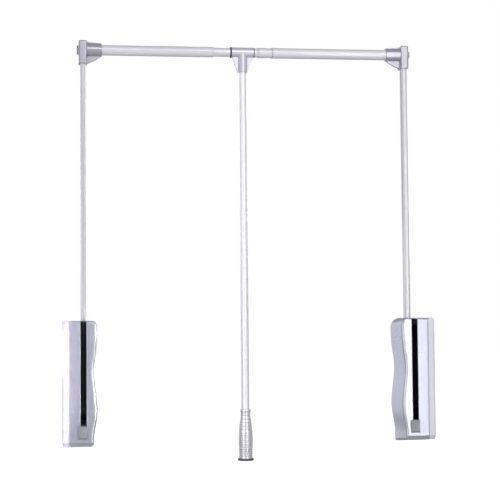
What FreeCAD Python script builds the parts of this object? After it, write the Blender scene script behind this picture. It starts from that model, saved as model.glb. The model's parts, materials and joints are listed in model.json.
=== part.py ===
import FreeCAD
import Part
import math
import os
from FreeCAD import Vector

# Pull-down wardrobe rail. Two housings screw to the side walls of a wardrobe. In each one a lever turns
# on a pivot pin and carries an arm. A telescopic rail joins the arms, and a pull rod hangs from it.
# Millimetres. The origin is where the swing axis meets the left wall. X runs to the right wall,
# -Y is the open front of the wardrobe, and Z is up.

# Overall layout
wall_span = 830.0          # from wall to wall with the rail pushed right in
rail_rise = 812.0          # rail axis above the swing axis
swing_angle = 100.0        # degrees the arms come forward
tee_offset = -7.0          # tee from the middle of the span

# Fits
slide_gap = 0.3            # between pieces that pass each other
run_gap = 0.05             # round a shaft that turns in its bush
seat_gap = 0.05            # round a piece that is fixed in its seat
backlash = 0.3             # between gear teeth
cut_over = 1.0             # reach of a cutting ring past the surface

# Housing
housing_depth = 115.0
housing_height = 272.0
front_reach = 69.5         # swing axis to the housing's front
pivot_height = 69.0        # swing axis above the housing's bottom
base_depth = 14.7          # wall to the seam
seam_gap = 3.2
base_plate = 4.0
lip_wall = 1.8
lip_height = 8.0
cover_wall = 2.6
crest_reach = 75.5         # wall to the crests of the wavy inner face
dip_reach = 68.6
foot_reach = 68.2
low_crest_height = 67.0
dip_height = 160.0
high_crest_drop = 28.0     # upper crest below the top
wave_foot = 8.0            # foot of the wave above the bottom
facet_height = 9.0         # slanted edge between the front and the underside
facet_depth = 6.0
underside_fall = 11.5      # drop of the underside from the facet to the back
top_corner_front = 12.0
top_corner_back = 22.0
bottom_corner = 5.0
front_round = 6.0
back_round = 6.5
wall_round = 5.5           # round the base where it meets the wall
slot_gap = 0.5             # beside the arm in its slot
post_gap = 2.1             # between the cover's posts and the slot
slot_back_gap = 3.0        # behind the arm in the cover's top
slot_edge_round = 1.0

# Cover screws
screw_radius = 1.8
screw_head_radius = 3.8
screw_head_height = 3.0
screw_length = 30.0
screw_recess = 4.0
cross_span = 4.4
cross_width = 1.1
cross_depth = 1.5
post_radius = 4.5
boss_radius = 6.0
boss_height = 20.0
screw_inset_front = 11.5
screw_inset_back = 15.5
screw_inset_bottom = 11.0
screw_inset_top = 10.0

# Wall screw holes
wall_hole_radius = 2.75
wall_hole_front = 40.0     # ahead of the swing axis
wall_hole_back = 10.0      # behind it
wall_hole_low = 36.0       # below it
wall_hole_drop = 33.0      # below the housing's top

# Bumper
bumper_width = 19.5
bumper_shift = 2.5         # to the left of the slot's middle
bumper_height = 28.0
bumper_proud = 6.5
bumper_chamfer = 3.0
bumper_bevel = 4.8         # across its left side
bumper_stem = 12.0         # length behind the cover's front wall
stop_gap = 0.5             # left between lever and bumper at full swing

# Chassis
sheet = 2.5
chassis_front = 48.0       # ahead of the swing axis
chassis_drop = 50.0        # below it
chassis_over = 10.0        # above the spring seat's underside
web_back = 40.0            # rear face of the web, behind the swing axis
cheek_room = 50.0          # between the wall plate and the cheek
cheek_front = 15.0
cheek_lobe = 16.0          # radius of the cheek round the pin

# Pivot
pin_radius = 5.0
pin_end = 2.0              # beyond the cheek
spacer_radius = 8.0
clip_radius = 8.0
clip_thick = 1.0
clip_depth = 1.0           # groove depth in the pin
clip_mouth = 6.0
bush_wall = 2.0

# Arm and lever
arm_plane = 46.0           # wall to the middle of the arm
arm_width = 12.0
arm_depth = 25.0
arm_wall = 1.4
arm_round = 4.0
lever_depth = 24.0
lever_round = 3.0
lever_top = 202.0
hub_width = 10.0
spigot_length = 68.0
rivet_radius = 2.5
rivet_places = (20.0, 52.0)  # above the lever's shoulder

# Gear and rack
tooth_module = 2.0
tooth_count = 22           # on a full turn
pressure_angle = 20.0
root_room = 0.5
rack_body = 7.5            # behind the tooth roots
rack_top = 18.0
rack_margin = 9.0          # rack below the last tooth in mesh
platform = 4.0             # thickness of the spring platform
guide_wall = 3.7
guide_reach = 6.0          # guide's sides ahead of its back
guide_top = 13.0
peg_radius = 2.5
peg_places = (-32.0, -4.0)

# Spring and damper
spring_place = 27.0        # spring axis behind the swing axis
spring_radius = 9.5        # outside
wire = 2.6
spring_turns = 14
end_pitch = 3.3
seat_drop = 27.0           # underside of the spring seat below the housing's top
seat_plate = 4.0
seat_front = 10.0
damper_radius = 6.0
damper_bore = 4.3
damper_length = 84.0
damper_top_wall = 4.0
gland_length = 6.0
damper_rod_radius = 2.0
piston_radius = 4.1
piston_length = 6.0
piston_lift = 8.0          # piston above the gland at rest
stud_radius = 2.9
stud_length = 9.0
nut_across = 9.0
nut_height = 4.0

# Corner connectors
corner_width = 19.0
corner_depth = 34.0
corner_rise = 20.0         # block above the rail axis
corner_drop = 32.0         # block below the rail axis
corner_round = 4.0
corner_top_round = 3.6
sleeve_length = 32.8
sleeve_wall = 3.4
tube_stop = 3.8            # wall between arm and rail tube
arm_seat = 10.5            # arm's top above the rail axis
gusset_thick = 8.0
gusset_drop = 32.0
gusset_end = 14.0
gusset_bulge = 2.4
rib_thick = 7.0
rib_rise = 19.0
rib_end = 15.4
cap_radius = 10.5
cap_proud = 4.2
cap_round = 3.0
bolt_radius = 3.0
bolt_hole = 3.25
bolt_head = 5.0
bolt_head_height = 3.0
bolt_length = 40.0
plug_length = 20.0

# Rail
rail_radius = 11.8
rail_wall = 1.3
left_bare = 39.1           # inner tube that shows between the left tube and its stop ring
right_bare = 6.95          # inner tube that shows between the right stop ring and the collar
inner_room = 56.65         # between the rail plug and the inner tube with the rail pushed right in
rail_overlap = 48.0        # inner tube left in each outer tube when drawn right out
inner_wall = 1.2
groove_count = 3
groove_pitch = 4.6
groove_width = 1.2
groove_depth = 0.25
groove_place = 12.0        # left of the stop ring
collar_length = 36.0
collar_step = 21.0
collar_radius = 11.7
collar_waist = 10.9
collar_lip = 1.6           # at the collar's front, and again before its skirt
collar_groove = 2.4        # behind each lip
skirt_length = 11.0
skirt_wall = 0.45
left_ring_width = 3.0
left_ring_radius = 12.2
right_ring_width = 1.6
right_ring_radius = 11.2
ring_gap = 0.2

# Tee and pull rod
tee_length = 50.4
tee_wall = 1.5
socket_drop = 46.3         # socket's mouth below the rail axis
socket_wall = 1.9
tee_web = 6.0
tee_web_reach = 23.5
tee_web_start = 12.0
set_screw_radius = 2.5
set_screw_drop = 34.0
socket_across = 2.5
socket_depth = 2.0
rod_radius = 9.0
rod_wall = 1.4
rod_seat = 14.0            # rod's top below the rail axis
grip_drop = 810.5          # grip's top below the rail axis
rod_in_grip = 70.0

# Grip, measured down from its top
grip_collar_height = 6.7
grip_collar_radius = 11.8
grip_belly = (
    (6.7, 11.2),
    (12.5, 10.95),
    (26.0, 12.7),
    (39.6, 14.1),
    (53.2, 15.4),
    (80.4, 15.8),
    (94.0, 15.2),
)
grip_waist = 14.4          # radius just above the flange
grip_body_end = 107.1
flange_height = 3.4
flange_radius = 15.3
foot_height = 4.6
foot_radius = 18.0
foot_round = 1.2
foot_spigot = 20.0
groove_radius = 0.8
wide_grooves = 5
wide_groove_pitch = 8.0
wide_groove_start = 14.0
fine_grooves = 9
fine_groove_pitch = 5.0

# Places worked out from the sizes above
front_y = -front_reach
back_y = housing_depth - front_reach
bottom_z = -pivot_height
top_z = housing_height - pivot_height
wall_hole_high = top_z - wall_hole_drop
cover_edge = base_depth + seam_gap
slot_half = arm_width / 2 + slot_gap
over_swing = math.radians(swing_angle - 90.0)
bumper_top = -(lever_depth / 2 / math.cos(over_swing) + front_reach * math.tan(over_swing) + stop_gap)
plate_face = base_plate + sheet
cheek_in = plate_face + cheek_room
cheek_out = cheek_in + sheet
web_front = web_back - sheet
seat_height = top_z - seat_drop
chassis_rise = seat_height + chassis_over
hub_low = arm_plane - hub_width / 2
hub_high = arm_plane + hub_width / 2
pitch_radius = tooth_module * tooth_count / 2
root_radius = pitch_radius - tooth_module - root_room
tip_radius = pitch_radius + tooth_module
rack_pitch = math.pi * tooth_module
rack_travel = pitch_radius * math.radians(swing_angle)
rack_tip = pitch_radius - tooth_module
rack_root = pitch_radius + tooth_module + root_room
rack_back = rack_root + rack_body
rack_bottom = -(rack_travel + rack_margin)
platform_top = rack_top + platform
gland_top = seat_height - damper_length
corner_low = arm_plane - corner_width / 2
corner_high = arm_plane + corner_width / 2
corner_bottom = rail_rise - corner_drop
corner_top = rail_rise + corner_rise
sleeve_end = corner_high + sleeve_length
arm_socket_half = arm_width / 2 + seat_gap
tube_start = arm_plane + arm_socket_half + tube_stop
inner_radius = rail_radius - rail_wall - slide_gap
tee_x = wall_span / 2 + tee_offset
tee_low = tee_x - tee_length / 2
tee_high = tee_x + tee_length / 2
left_tube_end = tee_low - ring_gap - left_ring_width - left_bare
collar_start = tee_high + ring_gap + right_ring_width + right_bare
right_tube_end = collar_start + collar_length + seat_gap
inner_start = tube_start + plug_length + inner_room
inner_reach = left_tube_end - inner_start
inner_end = right_tube_end + inner_reach
width_travel = 2 * (inner_reach - rail_overlap)
tee_bore = inner_radius + run_gap
tee_radius = tee_bore + tee_wall
socket_radius = rod_radius + seat_gap + socket_wall
grip_top = rail_rise - grip_drop
spring_ring = spring_radius - wire / 2
arm_top = rail_rise + arm_seat
lever_gap = seat_gap

X = Vector(1, 0, 0)
Y = Vector(0, 1, 0)
Z = Vector(0, 0, 1)


# Helpers

def block(x0, x1, y0, y1, z0, z1):
    return Part.makeBox(x1 - x0, y1 - y0, z1 - z0, Vector(x0, y0, z0))


def round_x(radius, x0, x1, y=0.0, z=0.0):
    return Part.makeCylinder(radius, x1 - x0, Vector(x0, y, z), X)


def round_y(radius, y0, y1, x, z):
    return Part.makeCylinder(radius, y1 - y0, Vector(x, y0, z), Y)


def round_z(radius, z0, z1, x, y=0.0):
    return Part.makeCylinder(radius, z1 - z0, Vector(x, y, z0), Z)


def ring_x(outer, inner, x0, x1, y=0.0, z=0.0):
    return round_x(outer, x0, x1, y, z).cut(round_x(inner, x0, x1, y, z))


def joined(first, *others):
    return first.fuse(list(others)).removeSplitter()


def flat_face(points):
    return Part.Face(Part.makePolygon(points + [points[0]]))


def lines_along(shape, direction):
    lines = [e for e in shape.Edges if isinstance(e.Curve, Part.Line)]
    return [e for e in lines if abs(abs(e.Curve.Direction.dot(direction)) - 1.0) < 1e-6]


def rounded_bar(width, depth, radius, z0, z1):
    bar = block(arm_plane - width / 2, arm_plane + width / 2, -depth / 2, depth / 2, z0, z1)
    return bar.makeFillet(radius, lines_along(bar, Z))


def hexagon(across, middle, second):
    """A six-sided face across X and this second direction."""
    corner = across / math.sqrt(3)
    turns = [math.pi / 3 * number for number in range(6)]
    return flat_face([middle + X * corner * math.cos(t) + second * corner * math.sin(t) for t in turns])


# Housing

def underside_at(y):
    """Height of the housing's underside at this depth; it falls towards the back."""
    start = front_y + facet_depth
    return bottom_z - underside_fall * (y - start) / (back_y - start)


def beyond(start, end, inset):
    """A block along X that lies outside this line of the side view, once the line is moved in by inset."""
    along = (end - start).normalize()
    inward = X.cross(along)
    first = start + inward * inset - along * housing_depth
    last = end + inward * inset + along * housing_depth
    slab = flat_face([first, last, last - inward * housing_depth, first - inward * housing_depth])
    slab.translate(X * -crest_reach)
    return slab.extrude(X * 3 * crest_reach)


def beyond_underside(inset):
    start = front_y + facet_depth
    return beyond(Vector(0, start, underside_at(start)), Vector(0, back_y, underside_at(back_y)), inset)


def beyond_facet(inset):
    start = Vector(0, front_y, bottom_z + facet_height)
    return beyond(start, Vector(0, front_y + facet_depth, bottom_z), inset)


def wavy_form(inset, x_start):
    """The cover's outer form, or its hollow where inset is the wall; open at x_start."""
    low = bottom_z - 2 * underside_fall
    high = top_z - inset
    crest = crest_reach - inset
    foot = foot_reach - inset
    wave = Part.BSplineCurve()
    wave.interpolate(
        Points=[
            Vector(foot, 0, bottom_z + wave_foot),
            Vector(crest, 0, bottom_z + low_crest_height),
            Vector(dip_reach - inset, 0, bottom_z + dip_height),
            Vector(crest, 0, top_z - high_crest_drop),
        ],
        InitialTangent=Z,
        FinalTangent=Z,
    )
    corners = [wave.EndPoint, Vector(crest, 0, high), Vector(x_start, 0, high), Vector(x_start, 0, low),
               Vector(foot, 0, low), wave.StartPoint]
    lines = [Part.makeLine(a, b) for a, b in zip(corners, corners[1:])]
    profile = Part.Face(Part.Wire([wave.toShape()] + lines))
    profile.translate(Y * (front_y + inset))
    form = profile.extrude(Y * (housing_depth - 2 * inset))
    long_edges = [e for e in lines_along(form, Y) if e.BoundBox.XMin > x_start]
    top_edge = [e for e in long_edges if e.BoundBox.ZMin > high - 1e-3]
    form = form.makeFillet(top_corner_front - inset, top_corner_back - inset, top_edge)
    form = form.cut(beyond_underside(inset))
    form = form.makeFillet(bottom_corner - inset, foot_edge(form, foot))
    form = form.makeFillet(front_round - inset, rim_edges(form, front_y + inset, x_start))
    form = form.makeFillet(back_round - inset, rim_edges(form, back_y - inset, x_start))
    return form.cut(beyond_facet(inset))


def foot_edge(form, foot):
    """The edge between the wavy face and the underside."""
    edges = []
    for edge in form.Edges:
        box = edge.BoundBox
        if box.XMin > foot - 1e-3 and box.YLength > housing_depth / 2 and box.ZMax < bottom_z + wave_foot:
            edges.append(edge)
    return edges


def rim_edges(form, y, x_start):
    """Edges of the form's front or back face, without the one on its open side."""
    edges = []
    for edge in form.Edges:
        box = edge.BoundBox
        on_face = abs(box.YMin - y) < 1e-3 and abs(box.YMax - y) < 1e-3
        on_open_side = box.XMax < x_start + 1e-3
        if on_face and not on_open_side:
            edges.append(edge)
    return edges


def outline_prism(x0, x1, inset):
    """The housing's outline seen from the side, as a prism along X."""
    low = bottom_z - 2 * underside_fall
    prism = block(x0, x1, front_y + inset, back_y - inset, low, top_z - inset)
    prism = prism.cut(beyond_underside(inset)).cut(beyond_facet(inset))
    edges = lines_along(prism, X)
    front_top = [e for e in edges if e.BoundBox.YMax < 0 and e.BoundBox.ZMin > 0]
    prism = prism.makeFillet(front_round - inset, front_top)
    edges = lines_along(prism, X)
    back = [e for e in edges if e.BoundBox.YMin > back_y - inset - 1e-3]
    return prism.makeFillet(back_round - inset, back)


def screw_places():
    places = []
    for y in (front_y + screw_inset_front, back_y - screw_inset_back):
        places.append((y, underside_at(y) + screw_inset_bottom))
        places.append((y, top_z - screw_inset_top))
    return places


def wall_hole_places():
    return [(y, z) for y in (-wall_hole_front, wall_hole_back) for z in (-wall_hole_low, wall_hole_high)]


def make_base():
    lip_inset = cover_wall + slide_gap
    rim = outline_prism(0.0, base_depth, 0.0)
    rim = rim.makeFillet(wall_round, [e for e in rim.Edges if e.BoundBox.XMax < 1e-3])
    lip = outline_prism(base_plate / 2, cover_edge + lip_height, lip_inset)
    hollow = outline_prism(base_plate, cover_edge + lip_height + 1.0, lip_inset + lip_wall)
    base = joined(rim, lip).cut(hollow)
    for y, z in screw_places():
        boss = round_x(boss_radius, base_plate / 2, base_plate + boss_height, y, z)
        base = joined(base, boss.common(outline_prism(0.0, base_plate + boss_height, lip_inset)))
    for y, z in screw_places():
        base = base.cut(round_x(screw_radius + seat_gap, 0.0, base_plate + boss_height, y, z))
        base = base.cut(round_x(screw_head_radius + seat_gap, 0.0, screw_recess, y, z))
    for y, z in wall_hole_places():
        base = base.cut(round_x(wall_hole_radius, 0.0, base_plate, y, z))
    return base


def make_cover():
    outer = wavy_form(0.0, cover_edge)
    cover = outer.cut(wavy_form(cover_wall, cover_edge - 1.0))
    slot_back = arm_depth / 2 + slot_back_gap
    slot_bottom = bumper_top - bumper_height + bumper_chamfer
    slot_low = arm_plane - slot_half
    slot_high = arm_plane + slot_half
    cover = cover.cut(block(slot_low, slot_high, front_y - 1.0, slot_back, slot_bottom, top_z + 1.0))
    cover = cover.makeFillet(slot_edge_round, slot_edges(cover))
    for y, z in screw_places():
        cover = joined(cover, make_cover_post(y, z).common(outer))
    for y, z in screw_places():
        hole_end = screw_recess + screw_length + seat_gap
        cover = cover.cut(round_x(screw_radius + seat_gap, 0.0, hole_end, y, z))
    return cover


def slot_edges(cover):
    """The slot's long edges on the outside of the cover, up the front and over the top."""
    edges = []
    for edge in cover.Edges:
        box = edge.BoundBox
        beside_slot = abs(abs(box.Center.x - arm_plane) - slot_half) < 1e-3 and box.XLength < 1e-3
        on_outside = box.YMin < front_y + 1e-3 or box.ZMax > top_z - 1e-3
        across_wall = box.DiagonalLength < cover_wall + 1e-3
        if beside_slot and on_outside and not across_wall:
            edges.append(edge)
    return edges


def make_cover_post(y, z):
    """A post for one screw, short of the arm's path, on a rib from the nearer wall."""
    end = arm_plane - slot_half - post_gap
    wall_y = front_y if y < 0 else back_y
    post = round_x(post_radius, base_plate + boss_height + slide_gap, end, y, z)
    rib_start = cover_edge + lip_height + slide_gap
    rib = block(rib_start, end, min(y, wall_y), max(y, wall_y), z - cover_wall / 2, z + cover_wall / 2)
    return joined(post, rib)


def make_cover_screws():
    screws = []
    for y, z in screw_places():
        face = screw_recess - screw_head_height
        head = round_x(screw_head_radius, face, screw_recess, y, z)
        screw = joined(head, round_x(screw_radius, screw_recess, screw_recess + screw_length, y, z))
        for along_y, along_z in ((cross_span, cross_width), (cross_width, cross_span)):
            screw = screw.cut(block(face, face + cross_depth, y - along_y / 2, y + along_y / 2,
                                    z - along_z / 2, z + along_z / 2))
        screws.append(screw)
    return Part.makeCompound(screws)


def make_bumper():
    fall = math.tan(over_swing)
    front = front_y - bumper_proud
    stem_back = front_y + cover_wall + bumper_stem
    low = bumper_top - bumper_height

    def top_at(y):
        return bumper_top + (y - front_y) * fall

    head_face = [Vector(0, front, low + bumper_chamfer), Vector(0, front + bumper_chamfer, low),
                 Vector(0, front_y, low), Vector(0, front_y, bumper_top), Vector(0, front, top_at(front))]
    head = flat_face(head_face).extrude(X * bumper_width)
    head_low = arm_plane - bumper_shift - bumper_width / 2
    head.translate(X * head_low)
    bevel = [Vector(head_low, front, low), Vector(head_low + bumper_bevel, front, low),
             Vector(head_low, front + bumper_chamfer, low)]
    head = head.cut(flat_face(bevel).extrude(Z * 2 * bumper_height))
    stem_half = slot_half - seat_gap
    stem_low = low + bumper_chamfer + seat_gap
    stem_face = [Vector(0, front_y, stem_low), Vector(0, stem_back, stem_low),
                 Vector(0, stem_back, top_at(front_y)), Vector(0, front_y, top_at(front_y))]
    stem = flat_face(stem_face).extrude(X * 2 * stem_half)
    stem.translate(X * (arm_plane - stem_half))
    return joined(head, stem)


def make_chassis():
    plate = block(base_plate, plate_face, -chassis_front, web_back, -chassis_drop, chassis_rise)
    web = block(base_plate, cheek_out, web_front, web_back, -chassis_drop, chassis_rise)
    cheek = block(cheek_in, cheek_out, cheek_front, web_back, -chassis_drop, chassis_rise)
    tongue = block(cheek_in, cheek_out, 0.0, cheek_front, -cheek_lobe, cheek_lobe)
    lobe = round_x(cheek_lobe, cheek_in, cheek_out)
    chassis = joined(plate, web, cheek, tongue, lobe)
    chassis = chassis.cut(round_x(pin_radius + seat_gap, base_plate, cheek_out))
    for y, z in wall_hole_places():
        chassis = chassis.cut(round_x(wall_hole_radius, base_plate, plate_face, y, z))
    for z in peg_places:
        chassis = chassis.cut(round_y(peg_radius + seat_gap, web_front, web_back, arm_plane, z))
    return chassis


# Pivot

def make_pivot_pin():
    pin = round_x(pin_radius, base_plate, cheek_out + clip_thick + pin_end)
    groove_start = cheek_out + seat_gap
    groove_end = groove_start + clip_thick + 2 * seat_gap
    return pin.cut(ring_x(pin_radius, pin_radius - clip_depth, groove_start, groove_end))


def make_pivot_spacers():
    bore = pin_radius + seat_gap
    long_one = ring_x(spacer_radius, bore, plate_face, hub_low - slide_gap)
    short_one = ring_x(spacer_radius, bore, hub_high + slide_gap, cheek_in)
    return Part.makeCompound([long_one, short_one])


def make_pivot_clip():
    start = cheek_out + 2 * seat_gap
    clip = ring_x(clip_radius, pin_radius - clip_depth + seat_gap, start, start + clip_thick)
    mouth = block(start, start + clip_thick, -clip_mouth / 2, clip_mouth / 2, -clip_radius, 0.0)
    return clip.cut(mouth)


def make_bush():
    return ring_x(pin_radius + run_gap + bush_wall, pin_radius + run_gap, hub_low, hub_high)


# Lever, gear and arm

def involute(angle):
    return math.tan(angle) - angle


def gear_tooth(middle):
    """One tooth on the hub, its middle at this angle from +Y towards +Z."""
    base_radius = pitch_radius * math.cos(math.radians(pressure_angle))
    half_at_pitch = math.pi / 2 / tooth_count - backlash / 4 / pitch_radius
    half_at_base = half_at_pitch + involute(math.radians(pressure_angle))

    def flank(radius, side):
        half = half_at_base
        if radius > base_radius:
            half -= involute(math.acos(base_radius / radius))
        angle = middle + side * half
        return Vector(hub_low, radius * math.cos(angle), radius * math.sin(angle))

    foot = root_radius - 1.0
    tip = Vector(hub_low, tip_radius * math.cos(middle), tip_radius * math.sin(middle))
    curves = [
        Part.LineSegment(flank(foot, -1), flank(base_radius, -1)),
        Part.Arc(flank(base_radius, -1), flank(pitch_radius, -1), flank(tip_radius, -1)),
        Part.Arc(flank(tip_radius, -1), tip, flank(tip_radius, 1)),
        Part.Arc(flank(tip_radius, 1), flank(pitch_radius, 1), flank(base_radius, 1)),
        Part.LineSegment(flank(base_radius, 1), flank(foot, 1)),
        Part.LineSegment(flank(foot, 1), flank(foot, -1)),
    ]
    return Part.Face(Part.Wire([curve.toShape() for curve in curves])).extrude(X * hub_width)


def rivet_rows():
    return [lever_top + place for place in rivet_places]


def make_lever():
    tooth_angle = 2 * math.pi / tooth_count
    last_tooth = math.floor(math.radians(swing_angle) / tooth_angle) + 1
    teeth = [gear_tooth(-number * tooth_angle) for number in range(-1, last_tooth + 1)]
    hub = joined(round_x(root_radius, hub_low, hub_high), *teeth)
    bar = rounded_bar(arm_width, lever_depth, lever_round, root_radius * math.sqrt(0.5), lever_top)
    spigot_width = arm_width - 2 * arm_wall - 2 * lever_gap
    spigot_depth = arm_depth - 2 * arm_wall - 2 * lever_gap
    spigot_round = arm_round - arm_wall
    spigot_top = lever_top + spigot_length
    spigot = rounded_bar(spigot_width, spigot_depth, spigot_round, lever_top - 1.0, spigot_top)
    lever = joined(hub, bar, spigot)
    lever = lever.cut(round_x(pin_radius + run_gap + bush_wall + seat_gap, hub_low, hub_high))
    for z in rivet_rows():
        lever = lever.cut(round_x(rivet_radius + seat_gap, corner_low, corner_high, 0.0, z))
    return lever


def make_arm():
    arm = rounded_bar(arm_width, arm_depth, arm_round, lever_top + seat_gap, arm_top)
    bore_width = arm_width - 2 * arm_wall
    bore_depth = arm_depth - 2 * arm_wall
    arm = arm.cut(rounded_bar(bore_width, bore_depth, arm_round - arm_wall, lever_top, arm_top))
    for z in rivet_rows():
        arm = arm.cut(round_x(rivet_radius + seat_gap, corner_low, corner_high, 0.0, z))
    return arm.cut(round_x(bolt_hole, corner_low, corner_high, 0.0, rail_rise))


def make_rivets():
    low = arm_plane - arm_width / 2
    high = arm_plane + arm_width / 2
    return Part.makeCompound([round_x(rivet_radius, low, high, 0.0, z) for z in rivet_rows()])


# Rack, spring and damper

def make_rack():
    slope = math.tan(math.radians(pressure_angle))
    half_pitch_line = rack_pitch / 4 - backlash / 4
    half_tip = half_pitch_line - tooth_module * slope
    half_root = half_pitch_line + (tooth_module + root_room) * slope
    first = math.ceil(rack_bottom / rack_pitch)
    outline = [Vector(hub_low, rack_back, rack_bottom), Vector(hub_low, rack_root, rack_bottom)]
    for number in range(first, 2):
        middle = (number + 0.5) * rack_pitch
        outline.append(Vector(hub_low, rack_root, middle - half_root))
        outline.append(Vector(hub_low, rack_tip, middle - half_tip))
        outline.append(Vector(hub_low, rack_tip, middle + half_tip))
        outline.append(Vector(hub_low, rack_root, middle + half_root))
    outline.append(Vector(hub_low, rack_root, rack_top))
    outline.append(Vector(hub_low, rack_back, rack_top))
    rack = flat_face(outline).extrude(X * hub_width)
    return joined(rack, round_z(spring_radius, rack_top, platform_top, arm_plane, spring_place))


def make_rack_guide():
    back = rack_back + slide_gap
    half_room = hub_width / 2 + slide_gap
    half = half_room + guide_wall
    front = back - guide_reach
    guide = block(arm_plane - half, arm_plane + half, front, web_front, -chassis_drop, guide_top)
    room = block(arm_plane - half_room, arm_plane + half_room, front, back, -chassis_drop, guide_top)
    pegs = [round_y(peg_radius, web_front - 1.0, web_back, arm_plane, z) for z in peg_places]
    return joined(guide.cut(room), *pegs)


def spring_nodes():
    """Points and directions at each half turn: close turns at the ends, open ones between."""
    low = platform_top + slide_gap + wire / 2
    high = seat_height - slide_gap - wire / 2
    open_pitch = (high - low - 2 * end_pitch) / (spring_turns - 2)
    heights = []
    for step in range(2 * spring_turns + 1):
        turn = step / 2
        close_turns = min(turn, 1.0) + max(turn - (spring_turns - 1), 0.0)
        heights.append(low + close_turns * end_pitch + (turn - close_turns) * open_pitch)
    nodes = []
    for step, height in enumerate(heights):
        before = heights[max(step - 1, 0)]
        after = heights[min(step + 1, len(heights) - 1)]
        spans = min(step + 1, len(heights) - 1) - max(step - 1, 0)
        along_x = spring_ring * math.cos(math.pi * step)
        along_y = spring_ring * math.sin(math.pi * step)
        place = Vector(arm_plane + along_x, spring_place + along_y, height)
        heading = Vector(-along_y, along_x, (after - before) / spans / math.pi)
        nodes.append((place, heading.normalize()))
    return nodes


def biarc(start, heading, end, end_heading):
    """Two arcs from start to end that keep both headings."""
    across = end - start
    both = heading + end_heading
    bend = 2 * (1 - heading.dot(end_heading))
    along = across.dot(both)
    reach = (math.sqrt(along ** 2 + bend * across.dot(across)) - along) / bend
    first_knee = start + heading * reach
    second_knee = end - end_heading * reach
    middle = (first_knee + second_knee) * 0.5

    def arc(a, knee, b):
        weight = (b - a).Length / 2 / reach
        crown = (a + b + knee * (2 * weight)) * (1 / (2 + 2 * weight))
        return Part.Arc(a, crown, b).toShape()

    return [arc(start, first_knee, middle), arc(middle, second_knee, end)]


def make_spring():
    nodes = spring_nodes()
    edges = []
    for (start, heading), (end, end_heading) in zip(nodes, nodes[1:]):
        edges.extend(biarc(start, heading, end, end_heading))
    path = Part.Wire(edges)
    section = Part.Wire(Part.makeCircle(wire / 2, nodes[0][0], nodes[0][1]))
    spring = path.makePipeShell([section], True, False)
    gaps = [(after[0] - before[0]).Length - wire for before, after in zip(nodes, nodes[2:])]
    print("spring's least gap between turns", round(min(gaps), 3))
    return spring


def make_spring_seat():
    seat = block(arm_plane - spring_radius, cheek_in, spring_place - seat_front, web_front,
                 seat_height, seat_height + seat_plate)
    hole = round_z(stud_radius + seat_gap, seat_height, seat_height + seat_plate, arm_plane, spring_place)
    return seat.cut(hole)


def make_damper_body():
    body = round_z(damper_radius, gland_top, seat_height, arm_plane, spring_place)
    body = body.cut(round_z(damper_bore, gland_top, seat_height - damper_top_wall, arm_plane, spring_place))
    stud = round_z(stud_radius, seat_height, seat_height + stud_length, arm_plane, spring_place)
    return joined(body, stud)


def make_damper_gland():
    gland = round_z(damper_radius, gland_top - gland_length, gland_top, arm_plane, spring_place)
    hole = round_z(damper_rod_radius + run_gap, gland_top - gland_length, gland_top, arm_plane, spring_place)
    return gland.cut(hole)


def make_damper_rod():
    piston_low = gland_top + piston_lift
    piston_high = piston_low + piston_length
    rod = round_z(damper_rod_radius, platform_top, piston_low, arm_plane, spring_place)
    return joined(rod, round_z(piston_radius, piston_low, piston_high, arm_plane, spring_place))


def make_damper_nut():
    low = seat_height + seat_plate
    nut = hexagon(nut_across, Vector(arm_plane, spring_place, low), Y).extrude(Z * nut_height)
    return nut.cut(round_z(stud_radius + seat_gap, low, low + nut_height, arm_plane, spring_place))


# Corner connector

def make_corner():
    body = block(corner_low, corner_high, -corner_depth / 2, corner_depth / 2, corner_bottom, corner_top)
    body = body.makeFillet(corner_round, lines_along(body, Z))
    top_rim = [e for e in body.Edges if e.BoundBox.ZMin > corner_top - 1e-3]
    body = body.makeFillet(corner_top_round, top_rim)
    sleeve = round_x(rail_radius + seat_gap + sleeve_wall, arm_plane, sleeve_end, 0.0, rail_rise)
    mouth = [e for e in sleeve.Edges if e.BoundBox.XMin > sleeve_end - 1e-3]
    sleeve = sleeve.makeFillet(sleeve_wall / 3, mouth)
    corner = joined(body, sleeve, make_gusset(), make_rib())
    socket_low = rail_rise - max(corner_drop, gusset_drop)
    hole_depth = arm_depth + 2 * seat_gap
    socket_top = arm_top + seat_gap
    corner = corner.cut(rounded_bar(2 * arm_socket_half, hole_depth, arm_round, socket_low, socket_top))
    corner = corner.cut(round_x(rail_radius + seat_gap, tube_start, sleeve_end, 0.0, rail_rise))
    return corner.cut(round_x(bolt_hole, corner_low, sleeve_end, 0.0, rail_rise))


def make_gusset():
    """Web under the sleeve, with a lower edge that bows out."""
    start = Vector(corner_high - corner_round, -gusset_thick / 2, rail_rise - gusset_drop)
    end = Vector(sleeve_end - sleeve_wall / 2, -gusset_thick / 2, rail_rise - gusset_end)
    chord = end - start
    outward = Vector(chord.z, 0, -chord.x).normalize()
    edge = Part.Arc(start, (start + end) * 0.5 + outward * gusset_bulge, end).toShape()
    inner = Vector(start.x, start.y, rail_rise - rail_radius - sleeve_wall / 2)
    outer = Vector(end.x, end.y, inner.z)
    lines = [Part.makeLine(end, outer), Part.makeLine(outer, inner), Part.makeLine(inner, start)]
    return Part.Face(Part.Wire([edge] + lines)).extrude(Y * gusset_thick)


def make_rib():
    low = rail_rise + rail_radius + sleeve_wall / 2
    end = sleeve_end - sleeve_wall
    start = corner_high - corner_round
    corners = ((start, low), (end, low), (end, rail_rise + rib_end), (start, rail_rise + rib_rise))
    return flat_face([Vector(x, -rib_thick / 2, z) for x, z in corners]).extrude(Y * rib_thick)


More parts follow.
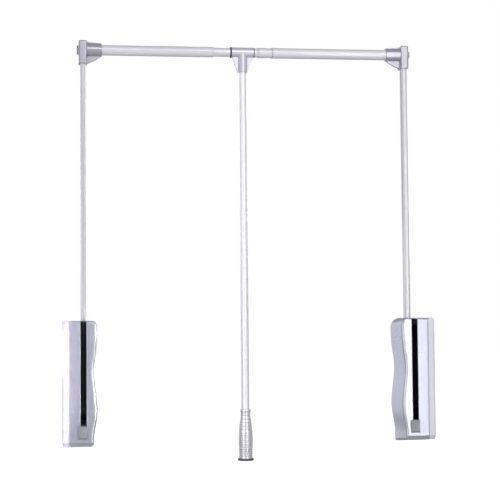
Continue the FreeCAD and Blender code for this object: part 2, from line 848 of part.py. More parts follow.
def make_corner_cap():
    outer = corner_low - cap_proud
    cap = round_x(cap_radius, outer, corner_low, 0.0, rail_rise)
    cap = cap.makeFillet(cap_round, [e for e in cap.Edges if e.BoundBox.XMax < outer + 1e-3])
    room = corner_low - bolt_head_height - seat_gap
    return cap.cut(round_x(bolt_head + seat_gap, room, corner_low, 0.0, rail_rise))


def make_corner_bolt():
    head = round_x(bolt_head, corner_low - bolt_head_height, corner_low, 0.0, rail_rise)
    return joined(head, round_x(bolt_radius, corner_low, corner_low + bolt_length, 0.0, rail_rise))


def make_rail_plug():
    outer = rail_radius - rail_wall - seat_gap
    return ring_x(outer, bolt_radius + seat_gap, tube_start, tube_start + plug_length, 0.0, rail_rise)


# Rail

def make_outer_tube(reach):
    tube = round_x(rail_radius, tube_start, reach, 0.0, rail_rise)
    tube = tube.makeFillet(rail_wall / 2, [e for e in tube.Edges if e.BoundBox.XMin > reach - 1e-3])
    return tube.cut(round_x(rail_radius - rail_wall, tube_start, reach, 0.0, rail_rise))


def make_inner_tube():
    tube = ring_x(inner_radius, inner_radius - inner_wall, inner_start, inner_end, 0.0, rail_rise)
    first = tee_low - ring_gap - left_ring_width - groove_place
    for number in range(groove_count):
        x = first - number * groove_pitch
        floor = inner_radius - groove_depth
        groove = ring_x(inner_radius + cut_over, floor, x, x + groove_width, 0.0, rail_rise)
        tube = tube.cut(groove)
    return tube


def make_stop_rings():
    bore = inner_radius + seat_gap
    left_end = tee_low - ring_gap
    right_start = tee_high + ring_gap
    left = ring_x(left_ring_radius, bore, left_end - left_ring_width, left_end, 0.0, rail_rise)
    right = ring_x(right_ring_radius, bore, right_start, right_start + right_ring_width, 0.0, rail_rise)
    return Part.makeCompound([left, right])


def make_rail_collar():
    start = collar_start
    end = start + collar_length
    front = round_x(collar_radius, start, start + collar_step, 0.0, rail_rise)
    front = front.makeFillet(collar_radius / 16, [e for e in front.Edges if e.BoundBox.XMax < start + 1e-3])
    groove_start = start + collar_lip
    groove_end = groove_start + collar_groove
    groove = ring_x(collar_radius + cut_over, collar_waist, groove_start, groove_end, 0.0, rail_rise)
    front = front.cut(groove)
    waist = round_x(collar_waist, start, end, 0.0, rail_rise)
    tube_fit = rail_radius + seat_gap
    skirt_start = end - skirt_wall
    skirt_end = right_tube_end + skirt_length
    skirt = round_x(tube_fit + skirt_wall, skirt_start, skirt_end, 0.0, rail_rise)
    lip_end = skirt_start - collar_groove
    lip = round_x(tube_fit + skirt_wall, lip_end - collar_lip, lip_end, 0.0, rail_rise)
    collar = joined(front, waist, lip, skirt)
    collar = collar.cut(round_x(tube_fit, end, skirt_end, 0.0, rail_rise))
    return collar.cut(round_x(inner_radius + slide_gap, start, skirt_end, 0.0, rail_rise))


# Tee and pull rod

def make_tee():
    sleeve = round_x(tee_radius, tee_low, tee_high, 0.0, rail_rise)
    socket = round_z(socket_radius, rail_rise - socket_drop, rail_rise, tee_x)
    low = rail_rise - socket_drop
    outline = [
        Vector(tee_x - tee_web_reach, -tee_web / 2, rail_rise - tee_web_start),
        Vector(tee_x - socket_radius, -tee_web / 2, low),
        Vector(tee_x + socket_radius, -tee_web / 2, low),
        Vector(tee_x + tee_web_reach, -tee_web / 2, rail_rise - tee_web_start),
        Vector(tee_x + tee_web_reach, -tee_web / 2, rail_rise),
        Vector(tee_x - tee_web_reach, -tee_web / 2, rail_rise),
    ]
    web = flat_face(outline).extrude(Y * tee_web)
    tee = joined(sleeve, socket, web)
    tee = tee.cut(round_x(tee_bore, tee_low, tee_high, 0.0, rail_rise))
    tee = tee.cut(round_z(rod_radius + seat_gap, low, rail_rise - rod_seat, tee_x))
    screw_z = rail_rise - set_screw_drop
    return tee.cut(round_y(set_screw_radius + seat_gap, 0.0, socket_radius, tee_x, screw_z))


def make_set_screw():
    level = rail_rise - set_screw_drop
    screw = round_y(set_screw_radius, rod_radius - rod_wall, socket_radius, tee_x, level)
    socket = hexagon(socket_across, Vector(tee_x, socket_radius, level), Z)
    return screw.cut(socket.extrude(Y * -socket_depth))


def make_pull_rod():
    top = rail_rise - rod_seat - seat_gap
    bottom = grip_top - rod_in_grip
    rod = round_z(rod_radius, bottom, top, tee_x).cut(round_z(rod_radius - rod_wall, bottom, top, tee_x))
    return rod.cut(round_y(set_screw_radius + seat_gap, 0.0, rod_radius, tee_x, rail_rise - set_screw_drop))


def make_grip_collar():
    collar = round_z(grip_collar_radius, grip_top - grip_collar_height, grip_top, tee_x)
    collar = collar.makeFillet(grip_collar_height / 5, [collar.Edges[0], collar.Edges[2]])
    return collar.cut(round_z(rod_radius + seat_gap, grip_top - grip_collar_height, grip_top, tee_x))


def grip_outline():
    """The grip's bellied side as a smooth curve from its neck to its flange."""
    side = Part.BSplineCurve()
    places = grip_belly + ((grip_body_end, grip_waist),)
    side.interpolate(Points=[Vector(tee_x + radius, 0, grip_top - depth) for depth, radius in places])
    return side


def grip_groove_depths():
    depths = [wide_groove_start + number * wide_groove_pitch for number in range(wide_grooves)]
    fine_start = depths[-1] + wide_groove_pitch
    return depths + [fine_start + number * fine_groove_pitch for number in range(fine_grooves)]


def make_grip():
    side = grip_outline()
    neck = side.StartPoint
    waist = side.EndPoint
    flange_low = waist.z - flange_height
    flange_x = tee_x + flange_radius
    corners = [waist, Vector(flange_x, 0, waist.z), Vector(flange_x, 0, flange_low),
               Vector(tee_x, 0, flange_low), Vector(tee_x, 0, neck.z), neck]
    lines = [Part.makeLine(a, b) for a, b in zip(corners, corners[1:])]
    grip = Part.Face(Part.Wire([side.toShape()] + lines)).revolve(Vector(tee_x, 0, 0), Z, 360)
    grip = grip.cut(round_z(rod_radius + seat_gap, flange_low, neck.z, tee_x))
    for depth in grip_groove_depths():
        level = grip_top - depth
        height = Part.LineSegment(Vector(tee_x, 0, level), Vector(tee_x + foot_radius, 0, level))
        crossing = side.intersectCC(height)[0]
        grip = grip.cut(Part.makeTorus(crossing.X - tee_x, groove_radius, Vector(tee_x, 0, level), Z))
    return grip


def make_grip_foot():
    high = grip_top - grip_body_end - flange_height
    low = high - foot_height
    disc = round_z(foot_radius, low, high, tee_x)
    disc = disc.makeFillet(foot_round, [disc.Edges[0], disc.Edges[2]])
    return joined(disc, round_z(rod_radius, high, high + foot_spigot, tee_x))


# Build and write

def both_sides():
    """Pieces of the left side, each of which has a mirror image on the right."""
    return {
        "base": make_base(),
        "cover": make_cover(),
        "cover_screws": make_cover_screws(),
        "chassis": make_chassis(),
        "pivot_pin": make_pivot_pin(),
        "pivot_spacers": make_pivot_spacers(),
        "pivot_clip": make_pivot_clip(),
        "pivot_bush": make_bush(),
        "lever": make_lever(),
        "arm": make_arm(),
        "arm_rivets": make_rivets(),
        "rack": make_rack(),
        "rack_guide": make_rack_guide(),
        "spring": make_spring(),
        "spring_seat": make_spring_seat(),
        "damper_body": make_damper_body(),
        "damper_gland": make_damper_gland(),
        "damper_rod": make_damper_rod(),
        "damper_nut": make_damper_nut(),
        "corner": make_corner(),
        "corner_cap": make_corner_cap(),
        "corner_bolt": make_corner_bolt(),
        "rail_plug": make_rail_plug(),
    }


def mirrored(shape):
    return shape.mirror(Vector(wall_span / 2, 0, 0), X)


def moved_across(shape):
    """The same piece at the right arm, not mirrored."""
    other = shape.copy()
    other.translate(X * (wall_span - 2 * arm_plane))
    return other


def main():
    nodes = {}
    for name, shape in both_sides().items():
        nodes["left_" + name] = shape
        nodes["right_" + name] = mirrored(shape)
    nodes["left_bumper"] = make_bumper()
    nodes["right_bumper"] = moved_across(nodes["left_bumper"])
    nodes["left_rail_tube"] = make_outer_tube(left_tube_end)
    nodes["right_rail_tube"] = mirrored(make_outer_tube(wall_span - right_tube_end))
    nodes["inner_rail_tube"] = make_inner_tube()
    nodes["stop_rings"] = make_stop_rings()
    nodes["rail_collar"] = make_rail_collar()
    nodes["tee"] = make_tee()
    nodes["tee_set_screw"] = make_set_screw()
    nodes["pull_rod"] = make_pull_rod()
    nodes["grip"] = make_grip()
    nodes["grip_collar"] = make_grip_collar()
    nodes["grip_foot"] = make_grip_foot()
    print("rail draws out by", round(width_travel, 3))
    os.makedirs("parts", exist_ok=True)
    for name, shape in nodes.items():
        shape.exportStep("parts/" + name + ".step")


main()
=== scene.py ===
import json
import math

import bpy
from mathutils import Matrix, Vector


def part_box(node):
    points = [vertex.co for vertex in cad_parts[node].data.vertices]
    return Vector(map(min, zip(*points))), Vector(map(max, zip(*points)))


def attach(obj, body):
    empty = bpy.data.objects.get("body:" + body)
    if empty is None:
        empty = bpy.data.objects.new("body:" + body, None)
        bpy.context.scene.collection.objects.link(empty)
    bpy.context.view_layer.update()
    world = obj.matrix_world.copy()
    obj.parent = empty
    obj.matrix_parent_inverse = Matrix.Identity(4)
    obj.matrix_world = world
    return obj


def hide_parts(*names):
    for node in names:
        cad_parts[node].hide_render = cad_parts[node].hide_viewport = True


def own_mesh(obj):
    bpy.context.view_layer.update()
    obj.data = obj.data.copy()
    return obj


# Looks of a pull-down wardrobe rail. Metres, in the part's own frame: X runs from the left wall to the
# right wall, -Y is the open front of the wardrobe, and Z is up.

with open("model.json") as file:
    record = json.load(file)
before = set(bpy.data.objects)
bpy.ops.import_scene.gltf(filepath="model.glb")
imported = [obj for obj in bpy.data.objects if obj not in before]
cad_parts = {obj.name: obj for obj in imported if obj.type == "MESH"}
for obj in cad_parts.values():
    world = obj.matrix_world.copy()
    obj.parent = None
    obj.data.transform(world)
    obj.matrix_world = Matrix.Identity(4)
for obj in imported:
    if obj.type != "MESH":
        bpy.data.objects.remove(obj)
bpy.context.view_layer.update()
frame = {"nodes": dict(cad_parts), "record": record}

# Camera
image_side = 500.0                              # pixels
focal_length = 1307.9                           # pixels
sensor_width = 36.0                             # millimetres
nearest_seen = 0.05
camera_place = Vector((0.0407, -2.9406, 0.2038))
camera_yaw = 0.1288                             # radians, towards +X
camera_pitch = 0.0527                           # upwards
camera_roll = -0.0090

# Studio
floor_level = -0.9
floor_radius = 38.0
floor_corners = 128
floor_glow = 0.97
floor_grey = 0.35
backdrop_radius = 40.0
backdrop_segments = 48
backdrop_rings = 24
fill_colour = (0.97, 0.97, 1.0, 1.0)
fill_strength = 0.34
plain_white = (1.0, 1.0, 1.0)
warm_white = (1.0, 0.99, 0.92)
cool_white = (0.9, 0.91, 1.0)
all_round = 180.0                               # degrees, for a lamp with no grid before it

# Patterns in the finishes
noise_low = 0.3                                 # most of a soft noise lies between these values
noise_high = 0.7
along_x = 0
along_z = 2
drawn_line_width = 0.0009
drawn_line_length = 0.06
streak_size = 3.0                               # times that of the drawn lines
groove_floor = 0.3                              # share of a groove's width with the full painted shade

# Grip
grip_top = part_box("grip_collar")[1].z
wide_groove_start = 0.014                       # below the top of the grip
wide_groove_pitch = 0.008
fine_groove_start = 0.054
fine_groove_pitch = 0.005
groove_half_width = 0.0011

# Collar on the right rail tube
collar_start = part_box("rail_collar")[0].x
front_groove_place = 0.0028                     # from the collar's start to the middle of the groove
rear_groove_place = 0.0344
collar_groove_half = 0.0012

# Springs
wire_radius = 0.0013
spring_turns = 14
end_turn_pitch = 0.0033
steps_per_turn = 48
wire_sides = 14


# Camera and studio

def make_camera():
    forward = Vector((
        math.sin(camera_yaw) * math.cos(camera_pitch),
        math.cos(camera_yaw) * math.cos(camera_pitch),
        math.sin(camera_pitch),
    ))
    level = Vector((math.cos(camera_yaw), -math.sin(camera_yaw), 0.0))
    upright = level.cross(forward)
    right = level * math.cos(camera_roll) + upright * math.sin(camera_roll)
    up = upright * math.cos(camera_roll) - level * math.sin(camera_roll)
    turn = Matrix((right, up, -forward)).transposed()
    data = bpy.data.cameras.new("camera")
    data.sensor_width = sensor_width
    data.lens = focal_length / image_side * sensor_width
    data.clip_start = nearest_seen
    data.clip_end = 2 * backdrop_radius
    camera = bpy.data.objects.new("camera", data)
    camera.matrix_world = Matrix.Translation(camera_place) @ turn.to_4x4()
    bpy.context.scene.collection.objects.link(camera)
    bpy.context.scene.camera = camera


def make_world():
    world = bpy.data.worlds.new("fill")
    world.use_nodes = True
    background = world.node_tree.nodes["Background"]
    background.inputs["Color"].default_value = fill_colour
    background.inputs["Strength"].default_value = fill_strength
    bpy.context.scene.world = world


def make_softbox(name, place, aim, width, height, power, spread=all_round, colour=plain_white):
    data = bpy.data.lights.new(name, "AREA")
    data.shape = "RECTANGLE"
    data.size = width
    data.size_y = height
    data.energy = power
    data.spread = math.radians(spread)
    data.color = colour
    light = bpy.data.objects.new(name, data)
    direction = Vector(aim) - Vector(place)
    light.location = place
    light.rotation_mode = "QUATERNION"
    light.rotation_quaternion = direction.to_track_quat("-Z", "Y")
    light.visible_camera = False
    bpy.context.scene.collection.objects.link(light)


def make_front_lights():
    make_softbox("right_softbox", place=(1.02, -1.65, 0.22), aim=(0.80, 0.0, 0.22),
                 width=0.22, height=1.6, power=11.2, colour=warm_white)
    make_softbox("top_softbox", place=(0.72, -2.0, 1.7), aim=(0.45, 0.0, 0.7),
                 width=1.3, height=0.6, power=19.0)
    make_softbox("left_softbox", place=(-1.0, -1.5, 0.1), aim=(0.1, 0.0, 0.05),
                 width=1.0, height=1.1, power=16.0)


def make_edge_lights():
    """Narrow beams on the wavy edge and on the wall-side strip of the left housing."""
    make_softbox("rim_softbox", place=(1.9, -1.2, 0.06), aim=(0.06, -0.07, 0.02),
                 width=0.25, height=0.52, power=0.165, spread=8.0)
    make_softbox("strip_softbox", place=(-0.882, -1.226, 0.56), aim=(0.0, -0.076, 0.03),
                 width=0.022, height=0.29, power=0.042, spread=1.0)


def make_back_lights():
    make_softbox("back_left_softbox", place=(-1.5, 2.2, 1.0), aim=(0.415, 0.0, 0.35),
                 width=1.0, height=1.2, power=26.0)
    make_softbox("back_right_softbox", place=(2.3, 2.2, 1.0), aim=(0.415, 0.0, 0.35),
                 width=1.0, height=1.2, power=26.0)
    make_softbox("back_softbox", place=(0.36, 1.6, 0.13), aim=(0.6, 0.0, 0.1),
                 width=0.6, height=0.8, power=1.2, colour=cool_white)


def stage_material(name, glow, level):
    """A dull grey of this level that gives off white light."""
    material = bpy.data.materials.new(name)
    material.use_nodes = True
    shader = material.node_tree.nodes["Principled BSDF"]
    shader.inputs["Base Color"].default_value = grey(level)
    shader.inputs["Roughness"].default_value = 1.0
    shader.inputs["Specular IOR Level"].default_value = 0.0
    shader.inputs["Emission Color"].default_value = grey(1.0)
    shader.inputs["Emission Strength"].default_value = glow
    return material


def make_floor():
    """A pale floor that shows in the picture, but lights nothing and isn't mirrored."""
    bpy.ops.mesh.primitive_circle_add(vertices=floor_corners, radius=floor_radius, fill_type="NGON")
    floor = bpy.context.object
    floor.name = "floor"
    floor.location.z = floor_level
    floor.data.materials.append(stage_material("pale_floor", floor_glow, floor_grey))
    floor.visible_glossy = False
    floor.visible_diffuse = False


def make_backdrop():
    """A white dome behind everything; it shows in the picture and gives no light."""
    bpy.ops.mesh.primitive_uv_sphere_add(
        segments=backdrop_segments, ring_count=backdrop_rings, radius=backdrop_radius)
    backdrop = bpy.context.object
    backdrop.name = "backdrop"
    backdrop.data.materials.append(stage_material("white_backdrop", 1.0, 0.0))
    backdrop.visible_diffuse = False
    backdrop.visible_glossy = False
    backdrop.visible_transmission = False
    backdrop.visible_shadow = False


# Material helpers

def linear(red, green, blue):
    """A colour from its 0 to 255 screen values."""
    def channel(value):
        share = value / 255.0
        if share <= 0.04045:
            return share / 12.92
        return ((share + 0.055) / 1.055) ** 2.4
    return (channel(red), channel(green), channel(blue), 1.0)


def scaled(colour, factor):
    return tuple(min(1.0, part * factor) for part in colour[:3]) + (1.0,)


def grey(level):
    return (level, level, level, 1.0)


def even(size):
    """The same length along X, Y and Z."""
    return (size, size, size)


def drawn_lines(axis):
    """Lengths of lines drawn out along one axis."""
    lengths = list(even(drawn_line_width))
    lengths[axis] = drawn_line_length
    return lengths


class Finish:
    """A material being put together: its shader, and its pattern nodes in the part's own coordinates."""

    def __init__(self, name, metallic=0.0, specular=0.5, coat=0.0, coat_roughness=0.1):
        self.name = name
        self.material = bpy.data.materials.new(name)
        self.material.use_nodes = True
        self.nodes = self.material.node_tree.nodes
        self.links = self.material.node_tree.links
        self.shader = self.nodes["Principled BSDF"]
        self.shader.inputs["Metallic"].default_value = metallic
        self.shader.inputs["Specular IOR Level"].default_value = specular
        self.shader.inputs["Coat Weight"].default_value = coat
        self.shader.inputs["Coat Roughness"].default_value = coat_roughness
        self.place = self.nodes.new("ShaderNodeTexCoord").outputs["Object"]
        self.bump = None

    def stretched(self, length_x, length_y, length_z):
        """Coordinates with the pattern drawn out by these lengths."""
        node = self.nodes.new("ShaderNodeMapping")
        node.inputs["Scale"].default_value = (1.0 / length_x, 1.0 / length_y, 1.0 / length_z)
        self.links.new(self.place, node.inputs["Vector"])
        return node.outputs["Vector"]

    def grain(self, lengths, detail=3.0, sharpness=0.55):
        """Soft noise whose blotches have these lengths along X, Y and Z."""
        node = self.nodes.new("ShaderNodeTexNoise")
        node.inputs["Scale"].default_value = 1.0
        node.inputs["Detail"].default_value = detail
        node.inputs["Roughness"].default_value = sharpness
        self.links.new(self.stretched(*lengths), node.inputs["Vector"])
        return node.outputs["Fac"]

    def flakes(self, size):
        """Small cells of even tone, as in metallic paint or galvanised zinc."""
        node = self.nodes.new("ShaderNodeTexVoronoi")
        node.inputs["Scale"].default_value = 1.0
        self.links.new(self.stretched(*even(size)), node.inputs["Vector"])
        bright = self.nodes.new("ShaderNodeSeparateColor")
        self.links.new(node.outputs["Color"], bright.inputs["Color"])
        return bright.outputs["Red"]

    def between(self, value, low, high, start=noise_low, end=noise_high):
        """A number from low to high as the value goes from start to end."""
        node = self.nodes.new("ShaderNodeMapRange")
        node.inputs["From Min"].default_value = start
        node.inputs["From Max"].default_value = end
        node.inputs["To Min"].default_value = low
        node.inputs["To Max"].default_value = high
        self.links.new(value, node.inputs["Value"])
        return node.outputs["Result"]

    def tones(self, value, first, last, start=noise_low, end=noise_high):
        """A colour from first to last as the value goes from start to end."""
        node = self.nodes.new("ShaderNodeValToRGB")
        first_stop, last_stop = node.color_ramp.elements
        first_stop.position = start
        first_stop.color = first
        last_stop.position = end
        last_stop.color = last
        self.links.new(value, node.inputs["Fac"])
        return node.outputs["Color"]

    def shades(self, noise, colour, darkest, lightest):
        """The colour, times a factor that follows the noise."""
        return self.tones(noise, scaled(colour, darkest), scaled(colour, lightest))

    def blend(self, amount, first, second, mode="MIX"):
        node = self.nodes.new("ShaderNodeMix")
        node.data_type = "RGBA"
        node.blend_type = mode
        self.links.new(amount, node.inputs["Factor"])
        self.links.new(first, node.inputs["A"])
        self.links.new(second, node.inputs["B"])
        return node.outputs["Result"]

    def worked_out(self, operation, first, second):
        """The result of one step of arithmetic on two values, each an output or a number."""
        node = self.nodes.new("ShaderNodeMath")
        node.operation = operation
        for socket, value in zip(node.inputs, (first, second)):
            if isinstance(value, (int, float)):
                socket.default_value = value
            else:
                self.links.new(value, socket)
        return node.outputs["Value"]

    def distance(self, axis):
        """How far along X, Y or Z."""
        node = self.nodes.new("ShaderNodeSeparateXYZ")
        self.links.new(self.place, node.inputs["Vector"])
        return node.outputs[axis]

    def grooves(self, axis, first, pitch, half_width):
        """1 in grooves square to the axis, at this pitch from the first, and 0 between them."""
        from_first = self.worked_out("SUBTRACT", first, self.distance(axis))
        steps = self.worked_out("MULTIPLY", from_first, 1.0 / pitch)
        nearest = self.worked_out("ROUND", steps, 0.0)
        away = self.worked_out("ABSOLUTE", self.worked_out("SUBTRACT", steps, nearest), 0.0)
        return self.between(away, 1.0, 0.0, groove_floor * half_width / pitch, half_width / pitch)

    def either(self, choice, first, second):
        """The first value where choice is 0, the second where it is 1."""
        node = self.nodes.new("ShaderNodeMix")
        self.links.new(choice, node.inputs["Factor"])
        self.links.new(first, node.inputs["A"])
        self.links.new(second, node.inputs["B"])
        return node.outputs["Result"]

    def colour(self, output):
        self.links.new(output, self.shader.inputs["Base Color"])

    def roughness(self, output):
        self.links.new(output, self.shader.inputs["Roughness"])

    def relief(self, height, depth, strength=1.0):
        """Raises the surface by a pattern; several reliefs add up."""
        node = self.nodes.new("ShaderNodeBump")
        node.inputs["Strength"].default_value = strength
        node.inputs["Distance"].default_value = depth
        self.links.new(height, node.inputs["Height"])
        if self.bump:
            self.links.new(self.bump, node.inputs["Normal"])
        self.bump = node.outputs["Normal"]
        self.links.new(self.bump, self.shader.inputs["Normal"])


# Materials

def moulded(name, colour, rough, metallic=0.0, specular=0.5, texture=0.00045, coat=0.0):
    """Satin moulded plastic with metal flake in it and a fine eroded texture."""
    finish = Finish(name, metallic=metallic, specular=specular, coat=coat, coat_roughness=0.18)
    cloud = finish.grain((0.05, 0.05, 0.07), detail=2.0)
    flake = finish.flakes(0.0005)
    body = finish.shades(cloud, colour, 0.97, 1.03)
    sparkle = finish.tones(flake, grey(0.47), grey(0.53), start=0.0, end=1.0)
    amount = finish.between(cloud, 0.5, 0.7)
    finish.colour(finish.blend(amount, body, sparkle, "SOFT_LIGHT"))
    pits = finish.grain(even(texture), detail=2.0, sharpness=0.5)
    finish.roughness(finish.between(pits, rough - 0.05, rough + 0.05))
    finish.relief(pits, depth=0.00004, strength=0.5)
    return finish


def drawn_tube(name, colour, axis, rough, metallic=0.0, coat=0.3):
    """Silver tube with faint lines drawn along it."""
    finish = Finish(name, metallic=metallic, coat=coat, coat_roughness=0.12)
    lines = finish.grain(drawn_lines(axis), sharpness=0.6)
    streaks = finish.grain([length * streak_size for length in drawn_lines(axis)], detail=2.0)
    body = finish.shades(streaks, colour, 0.95, 1.05)
    light = finish.tones(lines, grey(0.45), grey(0.55))
    finish.colour(finish.blend(finish.between(streaks, 0.6, 0.9), body, light, "SOFT_LIGHT"))
    finish.roughness(finish.between(lines, rough - 0.06, rough + 0.06))
    finish.relief(lines, depth=0.00002, strength=0.4)
    return finish


def rubber(name, colour):
    """Matt rubber with a dusty tone and a rough skin."""
    finish = Finish(name, specular=0.3)
    dust = finish.grain(even(0.012))
    skin = finish.grain(even(0.0006), detail=2.0)
    finish.colour(finish.shades(dust, colour, 0.9, 1.08))
    finish.roughness(finish.between(skin, 0.62, 0.82))
    finish.relief(skin, depth=0.00006, strength=0.6)
    return finish


def powder_coat(name, colour, rough):
    """Baked paint with a slight orange peel."""
    finish = Finish(name)
    peel = finish.grain(even(0.0016), detail=2.0, sharpness=0.45)
    tone = finish.grain(even(0.03), detail=2.0)
    finish.colour(finish.shades(tone, colour, 0.8, 1.25))
    finish.roughness(finish.between(peel, rough - 0.08, rough + 0.08))
    finish.relief(peel, depth=0.00008, strength=0.6)
    return finish


def ground_steel(name, colour, lengths, rough):
    """Bare metal with the marks of grinding or drawing along its longest length."""
    finish = Finish(name, metallic=1.0)
    marks = finish.grain(lengths, detail=4.0, sharpness=0.65)
    tone = finish.grain(even(0.02), detail=2.0)
    finish.colour(finish.shades(tone, colour, 0.9, 1.08))
    finish.roughness(finish.between(marks, rough - 0.08, rough + 0.1))
    finish.relief(marks, depth=0.00002, strength=0.5)
    return finish


def zinc_plate(name, colour):
    """Galvanised sheet with a spangle and a milky haze."""
    finish = Finish(name, metallic=1.0)
    spangle = finish.flakes(0.0022)
    haze = finish.grain(even(0.006))
    plain = finish.shades(haze, colour, 0.86, 1.06)
    cool_grey = (0.44, 0.46, 0.5, 1.0)
    warm_grey = (0.56, 0.55, 0.52, 1.0)
    cells = finish.tones(spangle, cool_grey, warm_grey, start=0.0, end=1.0)
    finish.colour(finish.blend(finish.between(haze, 0.4, 0.8), plain, cells, "SOFT_LIGHT"))
    finish.roughness(finish.between(haze, 0.26, 0.42))
    finish.relief(haze, depth=0.00003, strength=0.4)
    return finish


def sintered_bronze(name, colour):
    """Stained bronze, dark and rough in its pores."""
    finish = Finish(name, metallic=1.0)
    pores = finish.grain(even(0.0005), sharpness=0.6)
    stain = finish.grain(even(0.006), detail=2.0)
    warm = finish.shades(stain, colour, 0.7, 1.1)
    dark = finish.tones(pores, grey(0.3), grey(0.5), start=0.28, end=0.45)
    finish.colour(finish.blend(finish.between(stain, 0.7, 1.0), warm, dark, "SOFT_LIGHT"))
    finish.roughness(finish.between(pores, 0.5, 0.34))
    finish.relief(pores, depth=0.00006, strength=0.7)
    return finish


def turned_silver(name, colour, rough, top):
    """Polished finish with fine turning marks round an upright axis, and painted shade in the grooves
    below the top.
    """
    finish = Finish(name, metallic=0.5)
    rings = finish.grain((1.0, 1.0, 0.0006), sharpness=0.6)
    broad = finish.grain((0.6, 0.6, 0.004), detail=2.0)
    clean = finish.shades(broad, colour, 0.94, 1.04)
    # painted shade: a darker copy of the colour that stands for the shade falling in the grooves
    painted_groove_shade = finish.shades(broad, colour, 0.72, 0.8)
    first_fine = top - fine_groove_start
    wide = finish.grooves("Z", top - wide_groove_start, wide_groove_pitch, groove_half_width)
    fine = finish.grooves("Z", first_fine, fine_groove_pitch, groove_half_width)
    in_fine = finish.worked_out("LESS_THAN", finish.distance("Z"), first_fine + groove_half_width)
    groove = finish.either(in_fine, wide, fine)
    # the painted groove shade laid over the clean colour at the grooves
    finish.colour(finish.blend(groove, clean, painted_groove_shade))
    finish.roughness(finish.between(rings, rough - 0.06, rough + 0.08))
    finish.relief(rings, depth=0.00002, strength=0.25)
    return finish


def grooved_collar(name, colour, rough, start):
    """Silver ring with faint lines along the rail, with painted shade darkening its two grooves."""
    finish = Finish(name, coat=0.3, coat_roughness=0.12)
    lines = finish.grain(drawn_lines(along_x), sharpness=0.6)
    clean = finish.shades(lines, colour, 0.97, 1.03)
    # painted shade: a darker copy of the colour that stands for the shade in the collar's grooves
    painted_groove_shade = finish.shades(lines, colour, 0.66, 0.72)
    spacing = rear_groove_place - front_groove_place
    groove = finish.grooves("X", start + front_groove_place, spacing, collar_groove_half)
    # the painted groove shade laid over the clean colour at the grooves
    finish.colour(finish.blend(groove, clean, painted_groove_shade))
    finish.roughness(finish.between(lines, rough - 0.06, rough + 0.06))
    finish.relief(lines, depth=0.00002, strength=0.4)
    return finish


def make_materials():
    """The finishes by name. A name is one of the record's material slots or is in own_finishes."""
    made = [
        moulded("housing_plastic", linear(178, 179, 196), rough=0.28, metallic=0.45),
        moulded("base_plastic", linear(206, 205, 220), rough=0.6, specular=0.3),
        moulded("silver_plastic", linear(174, 172, 186), rough=0.3, metallic=0.5),
        moulded("tee_plastic", linear(196, 194, 207), rough=0.34, metallic=0.3, coat=0.1),
        moulded("cap_plastic", linear(142, 142, 148), rough=0.4),
        moulded("black_nylon", linear(40, 40, 44), rough=0.45, texture=0.0006),
        rubber("bumper_rubber", linear(140, 142, 149)),
        rubber("foot_rubber", linear(80, 80, 83)),
        powder_coat("black_steel", linear(46, 46, 52), rough=0.45),
        drawn_tube("arm_tube", linear(194, 193, 199), along_z, rough=0.34, metallic=0.3),
        drawn_tube("rail_tube", linear(207, 205, 213), along_x, rough=0.3),
        drawn_tube("rod_tube", linear(228, 227, 232), along_z, rough=0.45, metallic=0.3, coat=0.0),
        drawn_tube("bright_tube", linear(212, 211, 218), along_x, rough=0.3, metallic=0.1, coat=0.0),
        ground_steel("bright_steel", linear(205, 205, 208), (0.0004, 0.004, 0.004), rough=0.3),
        ground_steel("spring_steel", linear(128, 129, 134), (0.004, 0.004, 0.0005), rough=0.34),
        ground_steel("damper_gland", linear(212, 213, 217), (0.02, 0.02, 0.0004), rough=0.3),
        zinc_plate("zinc_steel", linear(202, 204, 208)),
        sintered_bronze("bronze", linear(190, 150, 96)),
        grooved_collar("collar_plastic", linear(210, 208, 216), rough=0.3, start=collar_start),
        turned_silver("grip_plastic", linear(216, 215, 222), rough=0.36, top=grip_top),
    ]
    return {finish.name: finish.material for finish in made}


# Nodes whose finish isn't that of their material slot
own_finishes = {
    "left_base": "base_plastic",
    "right_base": "base_plastic",
    "left_arm": "arm_tube",
    "right_arm": "arm_tube",
    "left_rail_tube": "rail_tube",
    "right_rail_tube": "rail_tube",
    "pull_rod": "rod_tube",
    "rail_collar": "collar_plastic",
}


def dress_nodes(materials):
    slots = {part["node"]: part["material_slot"] for part in frame["record"]["subparts"]}
    for name, node in frame["nodes"].items():
        finish = materials[own_finishes.get(name, slots[name])]
        for place in node.material_slots:
            place.material = finish


# Springs

def spring_heights(low, high):
    """Height of the wire's middle at each step, with a close turn at both ends."""
    open_pitch = (high - low - 2 * end_turn_pitch) / (spring_turns - 2)
    heights = []
    for step in range(spring_turns * steps_per_turn + 1):
        turn = step / steps_per_turn
        close_turns = min(turn, 1.0) + max(turn - (spring_turns - 1), 0.0)
        heights.append(low + close_turns * end_turn_pitch + (turn - close_turns) * open_pitch)
    return heights


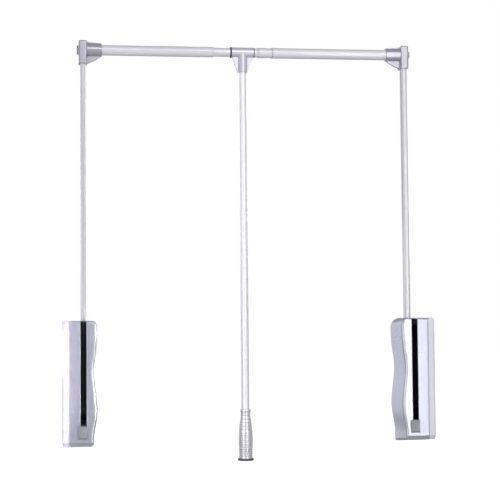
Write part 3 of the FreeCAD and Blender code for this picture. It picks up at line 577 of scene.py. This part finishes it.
def coil_corners(middle, ring, heights, turn_way):
    """Corners of the wire: one round of them at each height."""
    corners = []
    for step, height in enumerate(heights):
        angle = 2 * math.pi * step / steps_per_turn
        out = Vector((turn_way * math.cos(angle), math.sin(angle), 0.0))
        centre = Vector((middle.x, middle.y, height)) + out * ring
        for number in range(wire_sides):
            around = 2 * math.pi * number / wire_sides
            offset = out * math.cos(around) + Vector((0, 0, math.sin(around)))
            corners.append(centre + offset * wire_radius)
    return corners


def coil_faces(rounds, turn_way):
    """Four-sided faces between the rounds of corners, and a cap at each end, all facing outwards."""
    faces = []
    for step in range(rounds - 1):
        here = step * wire_sides
        ahead = here + wire_sides
        for number in range(wire_sides):
            following = (number + 1) % wire_sides
            face = (here + number, here + following, ahead + following, ahead + number)
            faces.append(face if turn_way < 0 else face[::-1])
    first_end = tuple(range(wire_sides))
    last_end = tuple(range((rounds - 1) * wire_sides, rounds * wire_sides))
    faces.append(first_end if turn_way > 0 else first_end[::-1])
    faces.append(last_end[::-1] if turn_way > 0 else last_end)
    return faces


def make_spring(side, material):
    node = side + "_spring"
    low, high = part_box(node)
    middle = (low + high) / 2
    ring = (high.y - low.y) / 2 - wire_radius
    heights = spring_heights(low.z + wire_radius, high.z - wire_radius)
    turn_way = 1.0 if side == "left" else -1.0
    corners = coil_corners(middle, ring, heights, turn_way)
    faces = coil_faces(len(heights), turn_way)
    mesh = bpy.data.meshes.new(node + "_coil")
    mesh.from_pydata([tuple(corner) for corner in corners], [], faces)
    mesh.polygons.foreach_set("use_smooth", [len(face) == 4 for face in faces])
    mesh.materials.append(material)
    mesh.update()
    spring = bpy.data.objects.new(node + "_coil", mesh)
    bpy.context.scene.collection.objects.link(spring)
    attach(spring, side + "_housing")
    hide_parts(node)
    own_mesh(spring)


# Build the scene

make_camera()
make_world()
make_front_lights()
make_edge_lights()
make_back_lights()
make_floor()
make_backdrop()
bpy.context.scene.view_settings.view_transform = "Standard"
finishes = make_materials()
dress_nodes(finishes)
for side_name in ("left", "right"):
    make_spring(side_name, finishes["spring_steel"])
